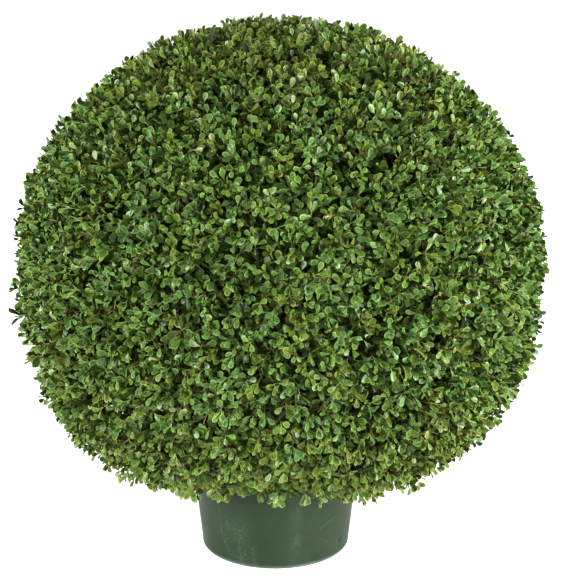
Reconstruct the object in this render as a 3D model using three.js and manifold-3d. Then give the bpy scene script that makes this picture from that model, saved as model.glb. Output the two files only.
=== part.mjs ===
// Artificial box topiary ball in a plastic pot.
// Millimetres, +Z up. The origin is the centre of the pot's flat underside.
// Nodes: pot, pot_fill, stem and foliage, all one rigid body.

import * as THREE from 'three';
import { mergeVertices } from 'three/addons/utils/BufferGeometryUtils.js';
import Module from 'manifold-3d';

// Driving dimensions

const gap = 0.3;                  // air between pieces that touch

const potHeight = 150;
const potFootRadius = 82;         // flat underside
const potFootRound = 4.5;         // moulded radius round the foot
const potWallLean = 0.11;         // outward millimetres per millimetre of height
const potWall = 3;
const potFloor = 4;
const potLipHeight = 11;
const potLipReach = 4;            // how far the rolled lip stands out from the wall
const potSides = 48;

const fillTop = 126;              // level of the potting fill at the pot's wall
const fillCrown = 3;              // it is this much higher round the stem

const stemFoot = 34;              // cast into the fill down to here
const stemFork = 236;             // the stem ends here, inside the foliage
const stemFootRadius = 13;
const stemForkRadius = 8.5;
const stemFlare = 3;              // extra radius where the stem leaves the fill
const stemFlareHeight = 16;
const stemSides = 14;

const ballCentre = new THREE.Vector3(6, 0, 336.5);   // the ball sits a little off the pot's axis
const ballHalfWidth = 300;
const ballUpperHeight = 281;      // centre to top
const ballLowerHeight = 269;      // centre to the underside, before it is flattened
const ballUpperPower = 2.11;      // 2 is an ellipse, more is squarer
const ballLowerPower = 2.35;
const ballUnderside = 98;         // clipped level round the pot
const ballUndersideEase = 16;     // how softly the sides turn into the underside
const ballDetail = 12;            // splits of each icosahedron edge

const clumpCount = 150;           // tufts that make the clipped face uneven
const clumpRise = 9;
const clumpSpread = 8.5;          // degrees
const pocketClearance = 3;        // foliage to pot

// Broad swells and hollows of the clipped outline: degrees round from +X, degrees above
// the ball's middle, millimetres out, and degrees of reach
const swells = [
  { azimuth: 180, elevation: -41, rise: 8, reach: 13 },
  { azimuth: 184, elevation: 16, rise: 3, reach: 15 },
  { azimuth: 180, elevation: -8, rise: -6, reach: 13 },
  { azimuth: 176, elevation: 41, rise: -4, reach: 12 },
  { azimuth: 0, elevation: 86, rise: 2, reach: 11 },
  { azimuth: 4, elevation: 17, rise: 3, reach: 14 },
  { azimuth: -3, elevation: -3, rise: 3, reach: 9 },
  { azimuth: 0, elevation: -36, rise: -6, reach: 16 },
  { azimuth: 250, elevation: 12, rise: -3, reach: 18 },
  { azimuth: 296, elevation: 38, rise: 3, reach: 17 },
  { azimuth: 60, elevation: 8, rise: 4, reach: 18 },
  { azimuth: 102, elevation: 34, rise: -4, reach: 16 },
  { azimuth: 128, elevation: -20, rise: 4, reach: 17 },
  { azimuth: 84, elevation: -38, rise: -3, reach: 15 },
  { azimuth: 275, elevation: -46, rise: -26, reach: 16 },
  { azimuth: 188, elevation: -28, rise: 5, reach: 9 },
  { azimuth: 8, elevation: 29, rise: 2, reach: 12 },
  { azimuth: 335, elevation: -48, rise: 4, reach: 11 },
  { azimuth: 251, elevation: -50, rise: -12, reach: 9 },
  { azimuth: 182, elevation: -58, rise: -4, reach: 8 },
];

const colours = {
  pot: 0x46543f,
  fill: 0x8b867c,
  stem: 0x5b4b31,
  foliage: 0x4f7a2c,
};

// Solids

const wasm = await Module();
wasm.setup();

function toSolid(geometry) {
  const bare = geometry.clone();
  bare.deleteAttribute('normal');
  bare.deleteAttribute('uv');
  const merged = mergeVertices(bare, 1e-4);
  return new wasm.Manifold(new wasm.Mesh({
    numProp: 3,
    vertProperties: new Float32Array(merged.attributes.position.array),
    triVerts: new Uint32Array(merged.index.array),
  }));
}

function toGeometry(solid) {
  const mesh = solid.getMesh();
  const geometry = new THREE.BufferGeometry();
  geometry.setAttribute('position', new THREE.BufferAttribute(new Float32Array(mesh.vertProperties), 3));
  geometry.setIndex(new THREE.BufferAttribute(new Uint32Array(mesh.triVerts), 1));
  geometry.computeVertexNormals();
  return geometry;
}

// A lathe turns its profile round +Y, so it is stood up on +Z
function turned(profile, sides) {
  return new THREE.LatheGeometry(profile, sides).rotateX(Math.PI / 2);
}

function quarterRound(centreX, centreY, radius, startTurn, endTurn, steps) {
  const points = [];
  for (let i = 0; i <= steps; i += 1) {
    const turn = THREE.MathUtils.degToRad(startTurn + (endTurn - startTurn) * i / steps);
    points.push(new THREE.Vector2(centreX + radius * Math.cos(turn), centreY + radius * Math.sin(turn)));
  }
  return points;
}

// Pot

const wallStart = potFootRadius + potFootRound;

function potOutside(z) {
  return wallStart + (z - potFootRound) * potWallLean;
}

function potInside(z) {
  return potOutside(z) - potWall;
}

function potGeometry() {
  const lipBottom = potHeight - potLipHeight;
  const lipOutside = potOutside(lipBottom) + potLipReach;
  const lipRound = 2;
  const profile = [
    new THREE.Vector2(0, 0),
    ...quarterRound(potFootRadius, potFootRound, potFootRound, -90, 0, 5),
    new THREE.Vector2(potOutside(lipBottom), lipBottom),
    ...quarterRound(lipOutside - lipRound, lipBottom + lipRound, lipRound, -90, 0, 2),
    ...quarterRound(lipOutside - lipRound, potHeight - lipRound, lipRound, 0, 90, 3),
    new THREE.Vector2(potInside(potHeight), potHeight),
    new THREE.Vector2(potInside(potFloor), potFloor),
    new THREE.Vector2(0, potFloor),
  ];
  return turned(profile, potSides);
}

// Stem: a tapered round limb from its cut foot in the fill to the fork in the ball

const stemFootCentre = new THREE.Vector3(0, 0, stemFoot);
const stemForkCentre = new THREE.Vector3(ballCentre.x, 0, stemFork);

function stemRadius(z) {
  const along = (z - stemFoot) / (stemFork - stemFoot);
  const taper = THREE.MathUtils.lerp(stemFootRadius, stemForkRadius, along);
  const aboveFill = Math.abs(z - fillTop - fillCrown) / stemFlareHeight;
  return taper + stemFlare * Math.exp(-aboveFill * aboveFill);
}

function stemGeometry(extra) {
  const rings = 12;
  const foot = stemFoot - extra;
  const top = stemFork + extra;
  const rows = [];
  for (let i = 0; i <= rings; i += 1) {
    const z = foot + (top - foot) * i / rings;
    const along = (z - stemFoot) / (stemFork - stemFoot);
    const centre = new THREE.Vector3().lerpVectors(stemFootCentre, stemForkCentre, along);
    const radius = stemRadius(z) + extra;
    const row = [];
    for (let j = 0; j < stemSides; j += 1) {
      const turn = 2 * Math.PI * j / stemSides;
      row.push(new THREE.Vector3(centre.x + radius * Math.cos(turn), centre.y + radius * Math.sin(turn), z));
    }
    rows.push(row);
  }
  return loft(rows);
}

// Joins rings of points into one closed body, with a fan over each end
function loft(rows) {
  const sides = rows[0].length;
  const points = rows.flat();
  const faces = [];
  for (let i = 0; i + 1 < rows.length; i += 1) {
    for (let j = 0; j < sides; j += 1) {
      const a = i * sides + j;
      const b = i * sides + (j + 1) % sides;
      faces.push(a, b, b + sides, a, b + sides, a + sides);
    }
  }
  const last = (rows.length - 1) * sides;
  for (let j = 1; j + 1 < sides; j += 1) {
    faces.push(0, j + 1, j);
    faces.push(last, last + j, last + j + 1);
  }
  const geometry = new THREE.BufferGeometry().setFromPoints(points);
  geometry.setIndex(faces);
  geometry.computeVertexNormals();
  return geometry;
}

// Potting fill: fills the pot to below its lip and holds the stem

function fillGeometry() {
  const bottom = potFloor + gap;
  const profile = [
    new THREE.Vector2(0, bottom),
    new THREE.Vector2(potInside(bottom) - gap, bottom),
    new THREE.Vector2(potInside(fillTop) - gap, fillTop),
    new THREE.Vector2(potInside(fillTop) * 0.55, fillTop + fillCrown * 0.7),
    new THREE.Vector2(0, fillTop + fillCrown),
  ];
  const cast = toSolid(turned(profile, potSides));
  return toGeometry(cast.subtract(toSolid(stemGeometry(gap))));
}

// Foliage: one clipped mass, an oblate ball with a flattened underside and an uneven face

function aim(azimuth, elevation) {
  const round = THREE.MathUtils.degToRad(azimuth);
  const up = THREE.MathUtils.degToRad(elevation);
  return new THREE.Vector3(
    Math.cos(up) * Math.cos(round),
    Math.cos(up) * Math.sin(round),
    Math.sin(up),
  );
}

// The same spread of values from 0 to 1 on every run
function chance(i) {
  const value = Math.sin(i * 12.9898 + 4.137) * 43758.5453;
  return value - Math.floor(value);
}

const goldenAngle = 180 * (3 - Math.sqrt(5));

const clumps = Array.from({ length: clumpCount }, (_, i) => ({
  direction: aim(
    i * goldenAngle + 30 * (chance(i) - 0.5),
    THREE.MathUtils.radToDeg(Math.asin(1 - 2 * (i + 0.5) / clumpCount)),
  ),
  rise: clumpRise * (0.25 + 0.75 * chance(i + 500)),
  reach: clumpSpread * (0.7 + 0.6 * chance(i + 900)),
}));

const broadSwells = swells.map(({ azimuth, elevation, rise, reach }) => ({
  direction: aim(azimuth, elevation),
  rise,
  reach,
}));

// Tufts overlap, so the highest one counts; the swells add up
function unevenness(direction) {
  const bump = ({ direction: middle, rise, reach }) => {
    const away = THREE.MathUtils.radToDeg(direction.angleTo(middle)) / reach;
    return rise * Math.exp(-away * away);
  };
  const tuft = Math.max(...clumps.map(bump));
  const swell = broadSwells.map(bump).reduce((sum, value) => sum + value, 0);
  return tuft - 0.5 * clumpRise + swell;
}

function ballRadius(direction) {
  const across = Math.hypot(direction.x, direction.y);
  const upward = direction.z > 0;
  const height = upward ? ballUpperHeight : ballLowerHeight;
  const power = upward ? ballUpperPower : ballLowerPower;
  const sum = (across / ballHalfWidth) ** power + (Math.abs(direction.z) / height) ** power;
  return sum ** (-1 / power);
}

// Holds a point above the underside's level, easing into it
function clipUnderside(z) {
  const above = (z - ballUnderside) / ballUndersideEase;
  return ballUnderside + ballUndersideEase * Math.log(1 + Math.exp(above));
}

function foliageGeometry() {
  const ball = new THREE.IcosahedronGeometry(1, ballDetail);
  ball.deleteAttribute('normal');
  ball.deleteAttribute('uv');
  const skin = mergeVertices(ball, 1e-5);
  const position = skin.attributes.position;
  const direction = new THREE.Vector3();
  for (let i = 0; i < position.count; i += 1) {
    direction.fromBufferAttribute(position, i).normalize();
    const reach = ballRadius(direction) + unevenness(direction);
    const point = direction.clone().multiplyScalar(reach).add(ballCentre);
    position.setXYZ(i, point.x, point.y, clipUnderside(point.z));
  }
  const pocket = toSolid(turned(pocketProfile(), potSides));
  const bore = toSolid(stemGeometry(2 * gap));
  return toGeometry(toSolid(skin).subtract(pocket).subtract(bore));
}

// The space for the pot: its outline with the clearance, from below the ball to over the lip
function pocketProfile() {
  const lipBottom = potHeight - potLipHeight;
  const shoulder = potOutside(lipBottom) + potLipReach + pocketClearance;
  const roof = potHeight + pocketClearance;
  return [
    new THREE.Vector2(0, potFootRound),
    new THREE.Vector2(potOutside(potFootRound) + pocketClearance, potFootRound),
    new THREE.Vector2(potOutside(lipBottom) + pocketClearance, lipBottom - pocketClearance),
    new THREE.Vector2(shoulder, lipBottom - pocketClearance + 1),
    new THREE.Vector2(shoulder, roof),
    new THREE.Vector2(0, roof),
  ];
}

// The model

function piece(name, geometry, color, roughness) {
  const material = new THREE.MeshStandardMaterial({ color, roughness, metalness: 0 });
  const mesh = new THREE.Mesh(geometry, material);
  mesh.name = name;
  return mesh;
}

const topiary = new THREE.Group();
topiary.add(piece('pot', potGeometry(), colours.pot, 0.5));
topiary.add(piece('pot_fill', fillGeometry(), colours.fill, 0.9));
topiary.add(piece('stem', stemGeometry(0), colours.stem, 0.8));
topiary.add(piece('foliage', foliageGeometry(), colours.foliage, 0.55));

export default topiary;
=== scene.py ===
import math

import bpy
import numpy as np
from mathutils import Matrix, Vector
from mathutils.bvhtree import BVHTree


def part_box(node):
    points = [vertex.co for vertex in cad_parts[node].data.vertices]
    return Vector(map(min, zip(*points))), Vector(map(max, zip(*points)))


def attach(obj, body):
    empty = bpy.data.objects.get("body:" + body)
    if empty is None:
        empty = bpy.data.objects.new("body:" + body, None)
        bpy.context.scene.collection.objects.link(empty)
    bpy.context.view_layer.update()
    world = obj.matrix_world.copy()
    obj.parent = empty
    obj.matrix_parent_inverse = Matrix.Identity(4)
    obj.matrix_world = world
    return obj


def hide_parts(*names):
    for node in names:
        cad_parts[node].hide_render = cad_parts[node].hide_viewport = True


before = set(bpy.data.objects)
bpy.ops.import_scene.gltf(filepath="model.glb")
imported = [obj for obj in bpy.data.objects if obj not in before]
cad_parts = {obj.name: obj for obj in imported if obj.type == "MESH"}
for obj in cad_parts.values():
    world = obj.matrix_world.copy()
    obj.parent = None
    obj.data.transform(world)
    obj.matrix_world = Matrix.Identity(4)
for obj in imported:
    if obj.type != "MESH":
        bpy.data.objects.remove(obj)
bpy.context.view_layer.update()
print("frame loaded:", sorted(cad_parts))


# where things are, read from the frame, in metres
foliageLow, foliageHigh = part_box("foliage")
potLow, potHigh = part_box("pot")
stemLow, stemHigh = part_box("stem")

ballHeight = foliageHigh[2] - foliageLow[2]
middleShare = 0.46      # height of the ball's middle, as a share of the ball's
ballMiddle = np.array([
    (foliageLow[0] + foliageHigh[0]) / 2,
    (foliageLow[1] + foliageHigh[1]) / 2,
    foliageLow[2] + middleShare * ballHeight,
])

pot = {
    "height": potHigh[2] - potLow[2],
    "footRadius": 0.082,
    "footRound": 0.0045,
    "lean": 0.11,           # wall, outward per height
    "wall": 0.003,
    "floor": 0.004,
    "lipHeight": 0.011,
    "lipReach": 0.004,
    "lipRound": 0.0022,
    "mouthBevel": 0.0008,
    "underside": (0.02, 0.04, 0.06, 0.076),    # radii of its rings
    "footSteps": 8,
    "lipSteps": 5,
    "insideSteps": 8,
    "sides": 256,
    "ringStep": 0.0022,
    # moulding ripple: waves round, their phase, waves up in radians to the metre, phase, share
    "ripples": ((3, 1.1, 38, 0, 1.0), (7, 0.4, 71, 2, 0.6)),
    "waviness": 0.000108,
    "rippleStop": 0.002,    # below the lip
    "dimpleTurn": 58,       # degrees round from the front towards the right
    "dimpleHeight": 0.0195,
    "dimpleRadius": 0.0030,
    "dimpleDepth": 0.0014,
}


def potOutside(z):
    return pot["footRadius"] + pot["footRound"] + (z - pot["footRound"]) * pot["lean"]


def unit(v):
    return v / np.maximum(np.linalg.norm(v, axis=-1, keepdims=True), 1e-12)


def smoothStep(low, high, value):
    t = np.clip((value - low) / (high - low), 0, 1)
    return t * t * (3 - 2 * t)


def evenDirections(count, jitter, rng):
    # golden-angle spiral over the whole ball, nudged so no rows show
    i = np.arange(count)
    up = 1 - 2 * (i + 0.5) / count
    turn = i * math.pi * (3 - math.sqrt(5))
    flat = np.sqrt(1 - up * up)
    spiral = np.stack([flat * np.cos(turn), flat * np.sin(turn), up], axis=1)
    spacing = math.sqrt(4 * math.pi / count)
    return unit(spiral + rng.normal(size=(count, 3)) * spacing * jitter)


def newPiece(name, verts, faces, uvs=None, smooth=True):
    # verts (n, 3), faces (m, 3 or 4), uvs one per vertex or one per face corner
    mesh = bpy.data.meshes.new(name)
    corners = faces.shape[1]
    mesh.vertices.add(len(verts))
    mesh.vertices.foreach_set("co", np.ascontiguousarray(verts, np.float32).ravel())
    mesh.loops.add(faces.size)
    mesh.loops.foreach_set("vertex_index", np.ascontiguousarray(faces, np.int32).ravel())
    mesh.polygons.add(len(faces))
    mesh.polygons.foreach_set("loop_start", np.arange(0, faces.size, corners, dtype=np.int32))
    mesh.polygons.foreach_set("use_smooth", np.full(len(faces), smooth))
    if uvs is not None:
        layer = mesh.uv_layers.new(name="OFBake")
        perCorner = uvs[faces.ravel()] if len(uvs) == len(verts) else uvs
        layer.data.foreach_set("uv", np.ascontiguousarray(perCorner, np.float32).ravel())
    mesh.update(calc_edges=True)
    mesh.validate()
    piece = bpy.data.objects.new(name, mesh)
    bpy.context.scene.collection.objects.link(piece)
    return piece


def joinParts(parts):
    # parts are (verts, faces, uvs); their faces are renumbered into one mesh
    verts = np.concatenate([p[0] for p in parts])
    starts = np.cumsum([0] + [len(p[0]) for p in parts[:-1]])
    faces = np.concatenate([p[1] + s for p, s in zip(parts, starts)])
    uvs = np.concatenate([p[2] for p in parts])
    return verts, faces, uvs


def curvePoints(start, bend, end, steps):
    # quadratic curves, one a row: (n, steps + 1, 3)
    t = np.linspace(0, 1, steps + 1)[None, :, None]
    return (1 - t) ** 2 * start[:, None] + 2 * t * (1 - t) * bend[:, None] + t * t * end[:, None]


def curveAt(start, bend, end, t):
    # a point and its heading at t on each curve
    t = t[:, None]
    point = (1 - t) ** 2 * start + 2 * t * (1 - t) * bend + t * t * end
    heading = unit(2 * (1 - t) * (bend - start) + 2 * t * (end - bend))
    return point, heading


def ringFaces(rings, sides):
    # triangles between the rings of a tube, facing out when the rings go up
    j = np.arange(sides)
    nxt = (j + 1) % sides
    rows = (np.arange(rings - 1) * sides)[:, None]
    return np.concatenate([
        np.stack([rows + j, rows + nxt, rows + nxt + sides], axis=-1).reshape(-1, 3),
        np.stack([rows + j, rows + nxt + sides, rows + j + sides], axis=-1).reshape(-1, 3),
    ])


def closedRings(rings, sides):
    # the same, closed by fans to two end points that follow the rings' own points
    j = np.arange(sides)
    nxt = (j + 1) % sides
    last = (rings - 1) * sides
    return np.concatenate([
        ringFaces(rings, sides),
        np.stack([nxt, j, np.full(sides, rings * sides)], axis=-1),
        np.stack([last + j, last + nxt, np.full(sides, rings * sides + 1)], axis=-1),
    ])


def tubeMap(turn, rings):
    # around and along a tube, inside the map's square
    around = np.tile(0.5 + 0.46 * np.cos(turn), rings)
    along = np.repeat(np.linspace(0.02, 0.98, rings), len(turn))
    return np.stack([around, along], axis=1)


barkRelief = {
    # how many go round, and their twist in radians to the metre
    "ridges": (3, 900),
    "knots": (5, 1400),
    "knotShare": 0.4,
}


def tubes(paths, radii, sides, relief=0.0):
    # paths (n, k, 3), radii (n, k); closed at the far end by a small fan
    n, k, _ = paths.shape
    heading = unit(np.gradient(paths, axis=1))
    chord = unit(paths[:, -1] - paths[:, 0])
    across = np.where(np.abs(chord[:, :1]) < 0.6, [[1.0, 0, 0]], [[0, 1.0, 0]])
    side = unit(np.cross(across[:, None], heading))
    other = np.cross(heading, side)
    turn = 2 * np.pi * np.arange(sides) / sides
    r = np.repeat(radii[:, :, None], sides, axis=2)
    if relief:
        ridges, ridgeTwist = barkRelief["ridges"]
        knots, knotTwist = barkRelief["knots"]
        knotShare = barkRelief["knotShare"]
        ridge = np.sin(ridges * turn[None, None] + paths[:, :, :1] * ridgeTwist)
        knot = np.sin(paths[:, :, 2:] * knotTwist + knots * turn[None, None])
        r = r * (1 + relief * ((1 - knotShare) * ridge + knotShare * knot))
    ring = (side[:, :, None] * np.cos(turn)[None, None, :, None]
            + other[:, :, None] * np.sin(turn)[None, None, :, None])
    body = paths[:, :, None] + ring * r[..., None]
    verts = np.concatenate([body.reshape(n, k * sides, 3), paths[:, -1:]], axis=1)
    j = np.arange(sides)
    last = (k - 1) * sides
    cap = np.stack([last + j, last + (j + 1) % sides, np.full(sides, k * sides)], axis=-1)
    template = np.concatenate([ringFaces(k, sides), cap])
    offset = (np.arange(n) * (k * sides + 1))[:, None, None]
    faces = (template[None] + offset).reshape(-1, 3)
    uv = np.concatenate([tubeMap(turn, k), [[0.5, 0.99]]])
    return verts.reshape(-1, 3), faces, np.tile(uv, (n, 1))


potGuard = {
    # heights from the pot's top, where the guard takes in the lip and where it ends
    "lipWidens": (-0.018, -0.011),
    "letsGo": (0.002, 0.012),
    # the ball's pocket for the pot: how far past the lip, over the pot's top,
    # and over the ball's lowest point its face is looked for
    "mouthMargin": 0.0035,
    "rimBand": 0.006,
    "pocketRise": 0.02,
}


def clearOfPot(points, margin):
    # keeps points outside the pot's wall and lip; above the lip it lets go
    z = points[..., 2]
    flat = np.linalg.norm(points[..., :2], axis=-1)
    lip = potOutside(pot["height"]) + pot["lipReach"]
    above = z - pot["height"]
    nearLip = smoothStep(*potGuard["lipWidens"], above)
    wall = potOutside(z) * (1 - nearLip) + lip * nearLip + margin
    wall = wall * (1 - smoothStep(*potGuard["letsGo"], above))
    push = np.maximum(1.0, wall / np.maximum(flat, 1e-6))
    moved = points.copy()
    moved[..., :2] *= push[..., None]
    return moved


# the clipped face: rays cast inwards at the CAD ball give its reach
def clippedFace():
    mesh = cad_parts["foliage"].data
    points = [v.co.copy() for v in mesh.vertices]
    faces = [tuple(p.vertices) for p in mesh.polygons]
    return BVHTree.FromPolygons(points, faces)


faceTree = clippedFace()


def reachOf(directions):
    # distance from the ball's middle to its face, and whether that spot is over the pot
    middle = Vector(ballMiddle)
    reach = np.zeros(len(directions))
    overPot = np.zeros(len(directions), bool)
    mouth = potOutside(pot["height"]) + pot["lipReach"] + potGuard["mouthMargin"]
    pocket = foliageLow[2] + potGuard["pocketRise"]
    for i, d in enumerate(directions):
        d = Vector(d)
        hit = faceTree.ray_cast(middle + d, -d)[0]
        if hit is None:
            overPot[i] = True
            continue
        reach[i] = (hit - middle).length
        low = d.z < 0 and hit.z < pot["height"] + potGuard["rimBand"]
        overPot[i] = low and hit.z > pocket and math.hypot(hit.x, hit.y) < mouth
    return reach, overPot


def newGroup(name, inputs, outputs):
    group = bpy.data.node_groups.new(name, "ShaderNodeTree")
    for label, kind, value in inputs:
        socket = group.interface.new_socket(label, in_out="INPUT", socket_type=kind)
        if value is not None:
            socket.default_value = value
    for label, kind in outputs:
        group.interface.new_socket(label, in_out="OUTPUT", socket_type=kind)
    entry = group.nodes.new("NodeGroupInput")
    leave = group.nodes.new("NodeGroupOutput")
    return group, entry, leave


def maths(tree, kind, a, b=None, clamp=False):
    node = tree.nodes.new("ShaderNodeMath")
    node.operation = kind
    node.use_clamp = clamp
    for socket, value in zip(node.inputs, (a, b)):
        if value is None:
            continue
        if isinstance(value, (int, float)):
            socket.default_value = value
        else:
            tree.links.new(value, socket)
    return node.outputs[0]


def ramp(tree, value, fromLow, fromHigh, toLow=0.0, toHigh=1.0):
    node = tree.nodes.new("ShaderNodeMapRange")
    node.interpolation_type = "SMOOTHSTEP"
    tree.links.new(value, node.inputs["Value"])
    node.inputs["From Min"].default_value = fromLow
    node.inputs["From Max"].default_value = fromHigh
    node.inputs["To Min"].default_value = toLow
    node.inputs["To Max"].default_value = toHigh
    return node.outputs["Result"]


def blendColours(tree, amount, a, b, mode="MIX"):
    node = tree.nodes.new("ShaderNodeMix")
    node.data_type = "RGBA"
    node.blend_type = mode
    for socket, value in ((node.inputs[0], amount), (node.inputs[6], a), (node.inputs[7], b)):
        if isinstance(value, (int, float, tuple)):
            socket.default_value = value
        else:
            tree.links.new(value, socket)
    return node.outputs[2]


def noiseOn(tree, place, scale, detail):
    noise = tree.nodes.new("ShaderNodeTexNoise")
    noise.inputs["Scale"].default_value = scale
    noise.inputs["Detail"].default_value = detail
    tree.links.new(place, noise.inputs["Vector"])
    return noise.outputs[0]


def brightened(tree, colour, level):
    grey = tree.nodes.new("ShaderNodeCombineXYZ")
    for k in range(3):
        tree.links.new(level, grey.inputs[k])
    return blendColours(tree, 1.0, colour, grey.outputs[0], "MULTIPLY")


uvCells = 4          # the leaf pattern repeats in 4 x 4 cells, each a shade apart
cellMargin = 0.06

leafLook = {
    "bladeMiddle": 0.70,    # the blade is nearly an ellipse: its middle and half length, as shares
    "bladeHalf": 0.32,
    "rimWidth": 0.50,
    "rimEdge": (0.98, 0.95),
    "ribWidth": (0.05, 0.14),
    "ribFade": (0.55, 0.95),
    "ribPale": 0.55,
    "veins": 46,            # side veins, in radians to a leaf length
    "veinSlant": 9,
    "veinTone": 0.07,
    "mottleScale": 26,
    "mottle": (0.2, 0.55, 0.60, 1.0),     # from low, from high, to low, to high
    "rimGrowth": (0.40, 0.95, 0.60, 1.0),
    "rimSide": (-0.8, 0.7, 0.50, 1.40),
    "shadeSpread": 0.28,
    "roughness": 0.25,
    "rimRoughness": 0.14,
    "shadeRoughness": 0.10,
    "ribHeight": -0.7,
    "veinHeight": 0.25,
    "bump": (0.35, 0.0004),
    "gloss": 0.24,
}


def leafPatternGroup():
    group, entry, leave = newGroup("leafPattern", [
        ("Blade", "NodeSocketColor", (0.08, 0.18, 0.03, 1)),
        ("Rim", "NodeSocketColor", (0.25, 0.38, 0.07, 1)),
        ("Rim Width", "NodeSocketFloat", 0.3),
        ("Shade Spread", "NodeSocketFloat", 0.3),
    ], [
        ("Color", "NodeSocketColor"),
        ("Roughness", "NodeSocketFloat"),
        ("Height", "NodeSocketFloat"),
    ])
    uv = group.nodes.new("ShaderNodeUVMap")
    uv.uv_map = "OFBake"
    scaled = group.nodes.new("ShaderNodeVectorMath")
    scaled.operation = "SCALE"
    group.links.new(uv.outputs[0], scaled.inputs[0])
    scaled.inputs["Scale"].default_value = uvCells
    cell = group.nodes.new("ShaderNodeVectorMath")
    cell.operation = "FLOOR"
    group.links.new(scaled.outputs[0], cell.inputs[0])
    inCell = group.nodes.new("ShaderNodeVectorMath")
    inCell.operation = "SUBTRACT"
    group.links.new(scaled.outputs[0], inCell.inputs[0])
    group.links.new(cell.outputs[0], inCell.inputs[1])
    parts = group.nodes.new("ShaderNodeSeparateXYZ")
    group.links.new(inCell.outputs[0], parts.inputs[0])
    span = 1 - 2 * cellMargin
    across = maths(group, "MULTIPLY", maths(group, "SUBTRACT", parts.outputs[0], 0.5), 2 / span)
    along = maths(group, "DIVIDE", maths(group, "SUBTRACT", parts.outputs[1], cellMargin), span)
    fore = maths(group, "SUBTRACT", along, leafLook["bladeMiddle"])
    fore = maths(group, "DIVIDE", fore, leafLook["bladeHalf"])
    out = maths(group, "SQRT", maths(group, "ADD",
                                     maths(group, "MULTIPLY", across, across),
                                     maths(group, "MULTIPLY", fore, fore)))
    rimStart, rimEnd = leafLook["rimEdge"]
    inner = maths(group, "SUBTRACT", rimStart, entry.outputs["Rim Width"])
    rimMask = group.nodes.new("ShaderNodeMapRange")
    rimMask.interpolation_type = "SMOOTHSTEP"
    group.links.new(out, rimMask.inputs["Value"])
    group.links.new(inner, rimMask.inputs["From Min"])
    rimMask.inputs["From Max"].default_value = rimEnd
    # midrib, a thin pale line that fades towards the tip
    side = maths(group, "ABSOLUTE", across)
    rib = maths(group, "MULTIPLY", ramp(group, side, *leafLook["ribWidth"], 1, 0),
                ramp(group, along, *leafLook["ribFade"], 1, 0))
    # side veins slant forward from the midrib
    slant = maths(group, "SUBTRACT", maths(group, "MULTIPLY", along, leafLook["veins"]),
                  maths(group, "MULTIPLY", side, leafLook["veinSlant"]))
    veins = maths(group, "MULTIPLY", maths(group, "SINE", slant), 0.5)
    shade = group.nodes.new("ShaderNodeTexWhiteNoise")
    shade.noise_dimensions = "2D"
    group.links.new(cell.outputs[0], shade.inputs["Vector"])
    mottle = noiseOn(group, uv.outputs[0], leafLook["mottleScale"], 2)
    toRim = maths(group, "MAXIMUM", rimMask.outputs["Result"],
                  maths(group, "MULTIPLY", rib, leafLook["ribPale"]))
    toRim = maths(group, "MULTIPLY", toRim, ramp(group, mottle, *leafLook["mottle"]))
    toRim = maths(group, "MULTIPLY", toRim, ramp(group, along, *leafLook["rimGrowth"]))
    # painted highlight: one side of the rim is paler than the other, the side picked at random for each
    # cell, like a rim that catches the light
    paleSide = maths(group, "SIGN", maths(group, "SUBTRACT", shade.outputs["Value"], 0.5))
    lean = maths(group, "MULTIPLY", across, paleSide)
    toRim = maths(group, "MULTIPLY", toRim, ramp(group, lean, *leafLook["rimSide"]))
    colour = blendColours(group, toRim, entry.outputs["Blade"], entry.outputs["Rim"])
    dark = maths(group, "MULTIPLY", maths(group, "SUBTRACT", shade.outputs["Value"], 0.5),
                 entry.outputs["Shade Spread"])
    level = maths(group, "ADD", maths(group, "ADD", 1.0, dark),
                  maths(group, "MULTIPLY", veins, leafLook["veinTone"]))
    group.links.new(brightened(group, colour, level), leave.inputs["Color"])
    rough = maths(group, "ADD", leafLook["roughness"],
                  maths(group, "MULTIPLY", toRim, leafLook["rimRoughness"]))
    rough = maths(group, "ADD", rough,
                  maths(group, "MULTIPLY", shade.outputs["Value"], leafLook["shadeRoughness"]))
    group.links.new(rough, leave.inputs["Roughness"])
    height = maths(group, "ADD", maths(group, "MULTIPLY", rib, leafLook["ribHeight"]),
                   maths(group, "MULTIPLY", veins, leafLook["veinHeight"]))
    group.links.new(height, leave.inputs["Height"])
    return group


barkLook = {
    # each bark's colour at the foot and at the tip, and its streaks
    "twigPlastic": ((0.100, 0.068, 0.026), (0.190, 0.185, 0.048), 0.3),
    "boughBark": ((0.044, 0.032, 0.014), (0.070, 0.055, 0.022), 0.5),
    # the core is near black: painted shade seen through the gaps in the foliage
    "coreShadePlastic": ((0.012, 0.018, 0.009), (0.014, 0.020, 0.010), 0.2),
    "stemBark": ((0.095, 0.070, 0.042), (0.080, 0.064, 0.036), 0.7),
}
barkFinish = {
    "stretch": (14, 5, 1),
    "fibreScale": 1.6,
    "ages": (0.1, 0.9),
    "streakGain": 2.0,
    "roughness": (0.3, 0.7, 0.5, 0.8),    # from low, from high, to low, to high
    "bump": (0.4, 0.0006),
    "gloss": 0.3,
}


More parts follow.
